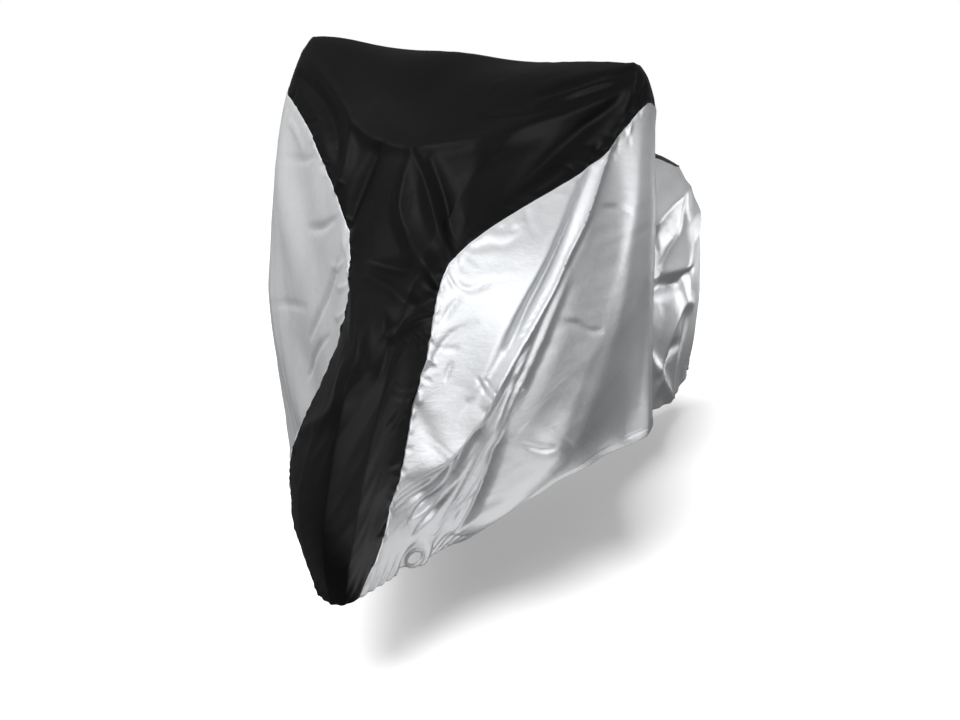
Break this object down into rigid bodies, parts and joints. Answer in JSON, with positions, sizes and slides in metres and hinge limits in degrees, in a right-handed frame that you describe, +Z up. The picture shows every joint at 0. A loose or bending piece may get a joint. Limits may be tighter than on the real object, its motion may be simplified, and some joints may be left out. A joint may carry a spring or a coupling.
{
  "type": "bicycle cover",
  "caption": "Hollow fitted cover of coated cloth, hanging over a bicycle: dark centre panel, light side panels, an eyelet in each front hem.",
  "frame": {"origin": "under the cover's top, 2 mm below the cloth at the middle of the handlebar", "axes": "+Y towards the bicycle's rear, +X towards its left side, +Z up"},
  "size_m": [0.7018, 1.7359, 0.9222],
  "materials": {
    "black_cloth": "black woven polyester with a satin water-proof coating",
    "silver_cloth": "silver-coated woven polyester, soft metallic sheen, creased",
    "eyelet_ring": "moulded pale grey ring"
  },
  "bodies": {
    "root": {"black_centre_panel": "black_cloth", "silver_left_panel": "silver_cloth", "silver_right_panel": "silver_cloth", "eyelet_patch_left": "silver_cloth", "eyelet_patch_right": "silver_cloth", "eyelet_ring_left": "eyelet_ring", "eyelet_ring_right": "eyelet_ring"}
  },
  "joints": []
}
